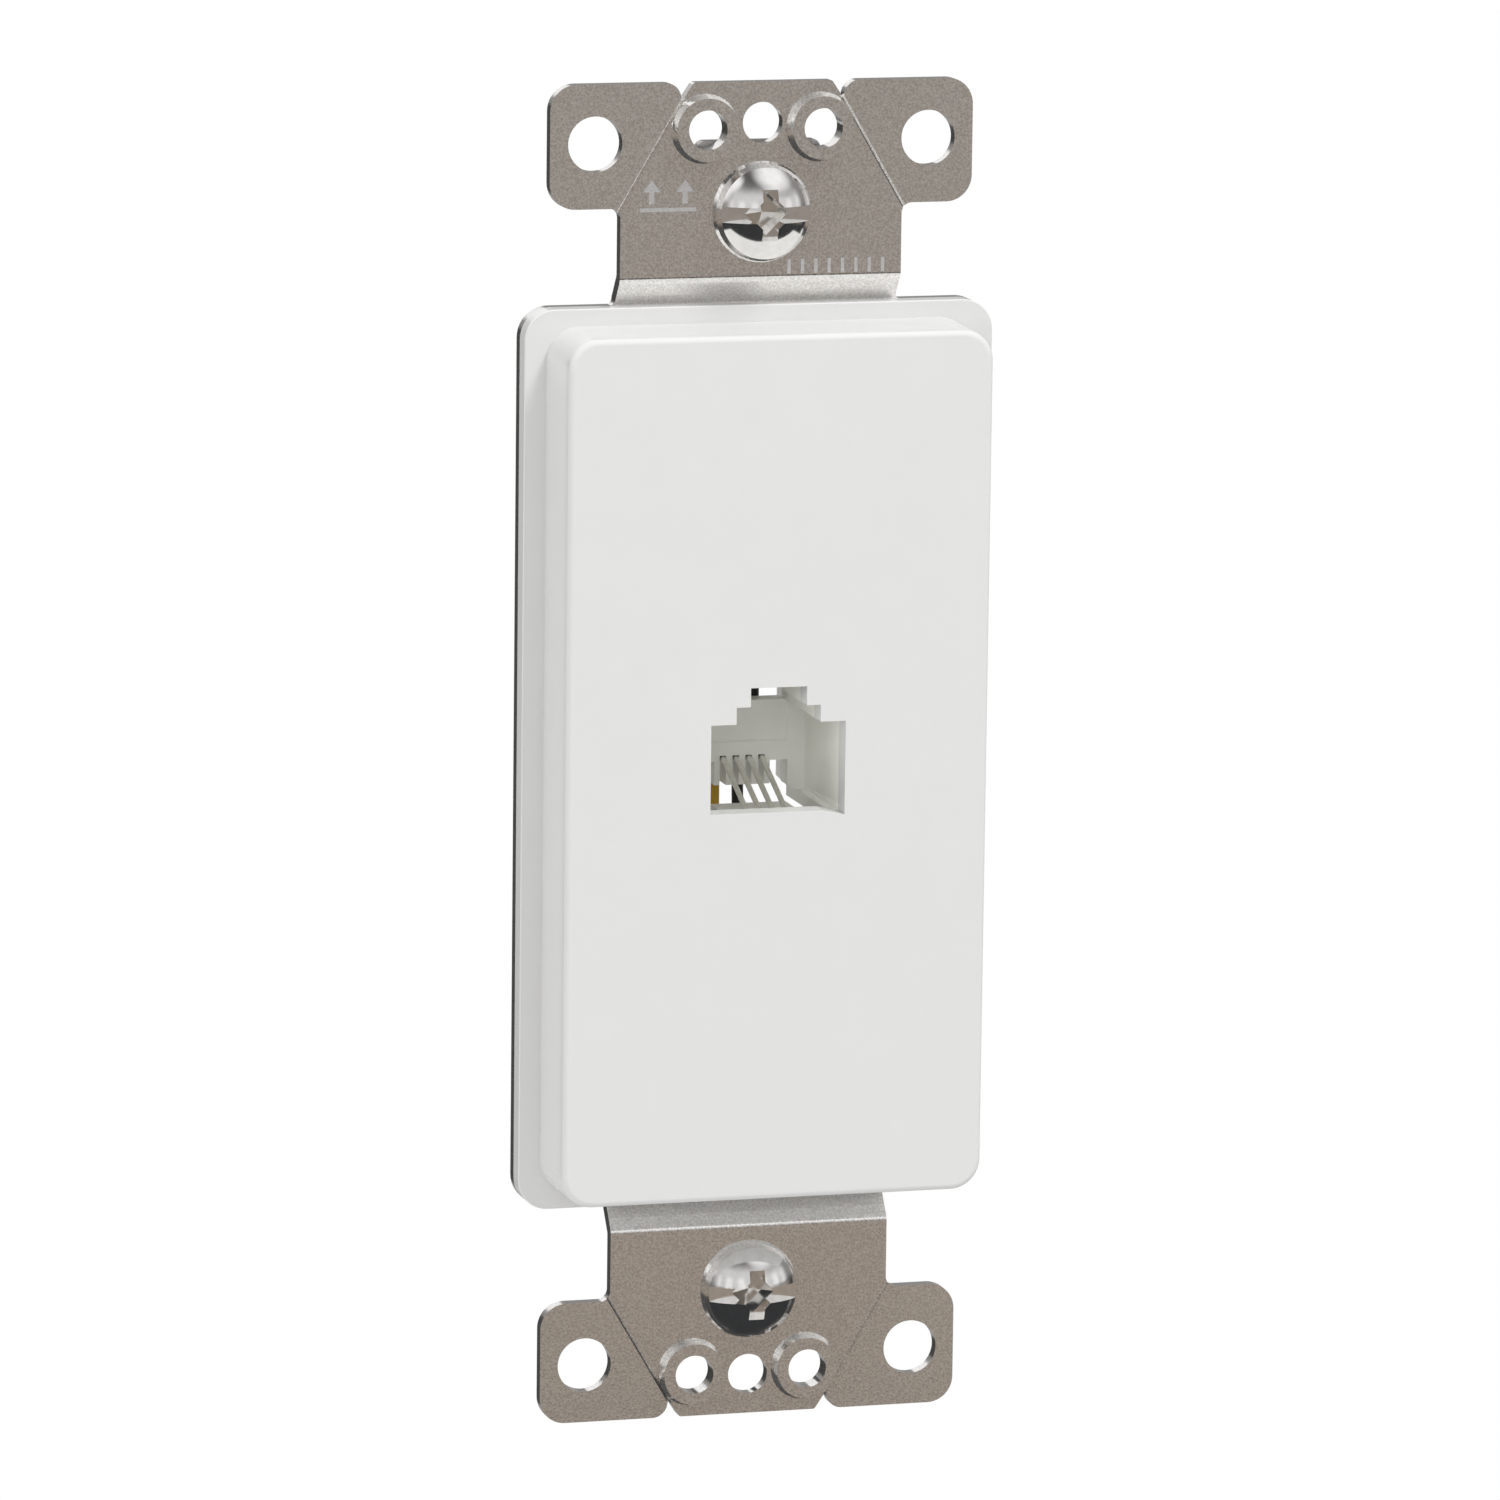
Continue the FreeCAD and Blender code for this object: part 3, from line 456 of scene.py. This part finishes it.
def raised_mark(name, outlines):
    """Flat marks of one thickness on the front of the strap's ears, from their outlines in X and Z."""
    marks = bmesh.new()
    for outline in outlines:
        ring = [marks.verts.new((x, ear_front, z)) for x, z in outline]
        face = marks.faces.new(ring)
        raised = bmesh.ops.extrude_face_region(marks, geom=[face])["geom"]
        lifted = [item for item in raised if isinstance(item, bmesh.types.BMVert)]
        bmesh.ops.translate(marks, verts=lifted, vec=(0.0, -mark_thickness, 0.0))
    bmesh.ops.recalc_face_normals(marks, faces=marks.faces)
    mesh = bpy.data.meshes.new(name)
    marks.to_mesh(mesh)
    marks.free()
    mesh.materials.append(etched_steel)
    piece = bpy.data.objects.new(name, mesh)
    bpy.context.collection.objects.link(piece)
    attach(piece, "root")


def bar(x, z, width, height):
    """The outline of one upright bar, with its middle at x and its foot at z."""
    half = width / 2
    return [(x - half, z), (x + half, z), (x + half, z + height), (x - half, z + height)]


def arrow(x, z, height, head_width, head_height, stem_width):
    """The outline of one arrow that points up, with its middle at x and its foot at z."""
    neck = z + height - head_height
    right = [(stem_width / 2, z), (stem_width / 2, neck), (head_width / 2, neck)]
    left = [(-sideways, up) for sideways, up in reversed(right)]
    outline = right + [(0.0, z + height)] + left
    return [(x + sideways, up) for sideways, up in outline]


arrow_places = (-0.0086, -0.0060)
arrow_foot = 0.0424
arrow_size = {"height": 0.0018, "head_width": 0.0014, "head_height": 0.0009, "stem_width": 0.00042}
bar_under_arrows = {"width": 0.0044, "height": 0.0003}
bar_drop = 0.0006
arrow_middle = sum(arrow_places) / 2
up_outlines = [arrow(x, arrow_foot, **arrow_size) for x in arrow_places]
up_outlines.append(bar(arrow_middle, arrow_foot - bar_drop, **bar_under_arrows))
raised_mark("mark_this_way_up", up_outlines)

stamp_bars = 8
stamp_pitch = 0.00105
stamp_start = 0.0022
stamp_foot = 0.0369
stamp_bar = {"width": 0.00026, "height": 0.0011}
stamp_outlines = [bar(stamp_start + stamp_pitch * n, stamp_foot, **stamp_bar) for n in range(stamp_bars)]
raised_mark("mark_stamp", stamp_outlines)

# Screw retainers
# Square washers of plain steel behind the strap, coloured darker than its plating as painted shade.
# They are pushed on the necks of the long screws, so that these can't fall out.
retainer_steel_painted_shade = plated_steel(
    "retainer_steel_painted_shade",
    dark=(0.42, 0.41, 0.40, 1.0),
    light=(0.58, 0.57, 0.56, 1.0),
    roughness=0.3,
    grain=0.0002,
    relief_depth=0.000004,
)
for end in ("top", "bottom"):
    finish_solid("screw_retainer_" + end, retainer_steel_painted_shade)

# Wall box screws
# Long machine screws, nickel plated, with a polished domed head. The thread is rolled, and the
# slot and the cross are punched, so their floor is dull. They go through strap and retainer.
polished_nickel = plated_steel(
    "polished_nickel",
    dark=(0.84, 0.83, 0.81, 1.0),
    light=(0.92, 0.91, 0.90, 1.0),
    roughness=0.11,
    grain=0.0006,
    relief_depth=0.0000003,
    painted_corner_shade=False,
)
punched_nickel = plated_steel(
    "punched_nickel",
    dark=(0.70, 0.69, 0.67, 1.0),
    light=(1.00, 0.99, 0.97, 1.0),
    roughness=0.24,
    grain=0.00015,
    relief_depth=0.000006,
    painted_corner_shade=False,
)
thread_pitch = 0.0008
thread_crest = 0.00175
thread_root = 0.00140
thread_flat_share = 0.12
thread_flank_share = 0.72
thread_steps = 10
thread_sides = 36
tip_chamfer = 0.0006
neck_past_retainer = 0.0002
head_radius = 0.00348
head_dome = 0.0016
dome_radius = (head_radius ** 2 + head_dome ** 2) / (2 * head_dome)
head_rim = 0.0002
recess_reach = head_radius - head_rim
recess_below_dome = 0.0014
recess_depth = head_dome + recess_below_dome
surface_slack = 0.00001
sharp_edge = math.radians(28)


def thread_height(turns):
    """How far the thread stands out of its root, from 0 to 1, at that many turns along."""
    part = turns % 1.0
    rise = min(part, 1.0 - part) * 2
    return max(0.0, min(1.0, (rise - thread_flat_share) / thread_flank_share))


def threaded_shank(form, screw_z, start, end_y):
    """A rolled thread in rings, from the neck to the tip, which is chamfered and closed."""
    rings = int((end_y - start) / thread_pitch * thread_steps)
    before = None
    for ring in range(rings + 1):
        y = start + (end_y - start) * ring / rings
        run_in = min(1.0, (y - start) / thread_pitch)
        chamfer = max(0.0, y - (end_y - tip_chamfer))
        around = []
        for side in range(thread_sides):
            angle = 2 * math.pi * side / thread_sides
            stand_out = thread_height((y - start) / thread_pitch - side / thread_sides) * run_in
            reach = thread_root + (thread_crest - thread_root) * stand_out
            reach = min(reach, thread_crest - chamfer)
            around.append(form.verts.new((reach * math.sin(angle), y, screw_z + reach * math.cos(angle))))
        if before:
            for side in range(thread_sides):
                beside = (side + 1) % thread_sides
                form.faces.new((before[side], before[beside], around[beside], around[side]))
        before = around
    form.faces.new(before)


def wall_box_screw(end):
    """The head and neck of the solid, with a thread in place of its plain shank."""
    solid = nodes["box_screw_" + end]
    low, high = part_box("box_screw_" + end)
    screw_z = (low[2] + high[2]) / 2
    neck_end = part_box("screw_retainer_" + end)[1][1] + neck_past_retainer
    mesh = solid.data.copy()
    mesh.name = "wall_box_screw_" + end
    form = bmesh.new()
    form.from_mesh(mesh)
    everything = form.verts[:] + form.edges[:] + form.faces[:]
    neck_point = (0.0, neck_end, 0.0)
    bmesh.ops.bisect_plane(form, geom=everything, plane_co=neck_point, plane_no=(0, 1, 0), clear_outer=True)
    dome_centre = Vector((0.0, low[1] + dome_radius, screw_z))
    for face in form.faces:
        middle = face.calc_center_median()
        off_dome = abs((middle - dome_centre).length - dome_radius)
        sideways = math.hypot(middle.x, middle.z - screw_z)
        in_head = middle.y < low[1] + recess_depth
        punched = in_head and off_dome > surface_slack and sideways < recess_reach
        face.material_index = 1 if punched else 0
    threaded_shank(form, screw_z, neck_end, high[1])
    for face in form.faces:
        face.smooth = True
    bmesh.ops.recalc_face_normals(form, faces=form.faces)
    form.to_mesh(mesh)
    form.free()
    mesh.materials.clear()
    mesh.materials.append(polished_nickel)
    mesh.materials.append(punched_nickel)
    mesh.set_sharp_from_angle(angle=sharp_edge)
    piece = bpy.data.objects.new("wall_box_screw_" + end, mesh)
    bpy.context.collection.objects.link(piece)
    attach(piece, "root")
    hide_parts("box_screw_" + end)


for end in ("top", "bottom"):
    wall_box_screw(end)

# Contact wires
# Thin plated spring wire, bent to slope down through the jack.
# Each one lies in its own slot of the comb and presses on the plug.
contact_metal = plated_steel(
    "contact_metal",
    dark=(0.80, 0.79, 0.75, 1.0),
    light=(0.88, 0.87, 0.83, 1.0),
    roughness=0.45,
    grain=0.0004,
    relief_depth=0.000001,
)
contact_colours = ("red", "green", "yellow", "black")
for colour in contact_colours:
    finish_solid("contact_wire_" + colour, contact_metal)

# Terminal carrier
# Moulded in white plastic with a finely textured, dull face.
# It clamps the jack body from behind and carries the four terminals.
carrier_plastic = moulded_plastic(
    "carrier_plastic",
    colour=(0.72, 0.72, 0.70, 1.0),
    roughness=0.45,
    grain=0.0008,
    relief_depth=0.000006,
)
finish_solid("terminal_carrier", carrier_plastic)

# Terminals
# A stamped brass plate on each post of the carrier.
# A zinc plated washer and screw clamp the lead's lug on it.
stamped_brass = plated_steel(
    "stamped_brass",
    dark=(0.78, 0.57, 0.24, 1.0),
    light=(0.90, 0.69, 0.33, 1.0),
    roughness=0.28,
    grain=0.0005,
    relief_depth=0.000003,
)
bright_zinc = plated_steel(
    "bright_zinc",
    dark=(0.70, 0.70, 0.71, 1.0),
    light=(0.84, 0.84, 0.85, 1.0),
    roughness=0.25,
    grain=0.0004,
    relief_depth=0.000003,
)
for colour in contact_colours:
    finish_solid("terminal_plate_" + colour, stamped_brass)
    finish_solid("clamp_washer_" + colour, bright_zinc)
    finish_solid("terminal_screw_" + colour, bright_zinc)

# Leads
# Thin wire in coloured insulation, from each contact to the terminal of its colour.
# A lug of tinned copper is crimped on the end.
tinned_copper = plated_steel(
    "tinned_copper",
    dark=(0.66, 0.65, 0.63, 1.0),
    light=(0.78, 0.77, 0.74, 1.0),
    roughness=0.3,
    grain=0.0004,
    relief_depth=0.000003,
)
lead_paints = {
    "red": (0.50, 0.02, 0.02, 1.0),
    "green": (0.02, 0.22, 0.05, 1.0),
    "yellow": (0.50, 0.30, 0.01, 1.0),
    "black": (0.006, 0.006, 0.006, 1.0),
}
for colour, paint in lead_paints.items():
    insulation = moulded_plastic(
        "insulation_" + colour,
        colour=paint,
        roughness=0.4,
        grain=0.001,
        relief_depth=0.000002,
    )
    finish_solid("lead_" + colour, insulation)
    finish_solid("lead_lug_" + colour, tinned_copper)

# Assembly screws
# Four zinc plated screws, which hold carrier, strap and cover together from behind.
assembly_screws = 4
for number in range(assembly_screws):
    finish_solid("assembly_screw_%d" % (number + 1), bright_zinc)
